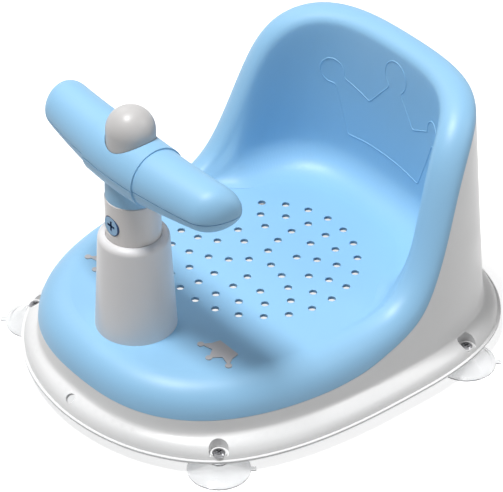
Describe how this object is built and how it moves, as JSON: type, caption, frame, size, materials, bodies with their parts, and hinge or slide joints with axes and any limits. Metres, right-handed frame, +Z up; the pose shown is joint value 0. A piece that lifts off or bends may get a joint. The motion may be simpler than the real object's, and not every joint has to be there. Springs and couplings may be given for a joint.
{
  "type": "baby bath seat",
  "caption": "Baby bath seat: bucket-like shell with backrest on a skirt with suction cups, and a lift-out T-shaped guard bar with a spinning bead on a front post.",
  "frame": {"origin": "on the ground, below the middle of the skirt's length and width", "axes": "+X to the right seen from the front, +Y towards the backrest, +Z up"},
  "size_m": [0.3228, 0.3719, 0.2555],
  "materials": {
    "seat_blue": "satin moulded",
    "skirt_white": "satin moulded",
    "warm_grey": "gloss moulded",
    "crown_tint": "matt",
    "cup_clear": "clear soft PVC",
    "screw_chrome": "bright plated",
    "screw_steel": "zinc plated"
  },
  "bodies": {
    "seat": {"seat_shell": "seat_blue", "base_shell": "skirt_white", "post_cone": "skirt_white", "post_screws": "screw_steel", "seat_screws": "screw_steel", "cup_screws": "screw_chrome", "cup_nuts": "screw_steel", "crown_pad_left": "crown_tint", "crown_pad_right": "crown_tint", "suction_cup_front_right": "cup_clear", "suction_cup_front_left": "cup_clear", "suction_cup_back_right": "cup_clear", "suction_cup_back_left": "cup_clear"},
    "guard": {"post_collar": "warm_grey", "lock_screw": "seat_blue", "hub_upper": "seat_blue", "hub_lower": "seat_blue", "grip_right_upper": "seat_blue", "grip_right_lower": "seat_blue", "grip_left_upper": "seat_blue", "grip_left_lower": "seat_blue", "guard_screws": "screw_steel", "bead_spindle": "screw_steel"},
    "bead": {"bead": "warm_grey"}
  },
  "joints": [
    {"name": "guard_lift", "type": "slide", "parent": "seat", "child": "guard", "axis": [0, 0, 1], "range_m": [0, 0.046]},
    {"name": "bead_spin", "type": "hinge", "parent": "guard", "child": "bead", "pos_m": [0, -0.1148, 0.2372], "axis": [0, 0, 1], "continuous": true}
  ]
}
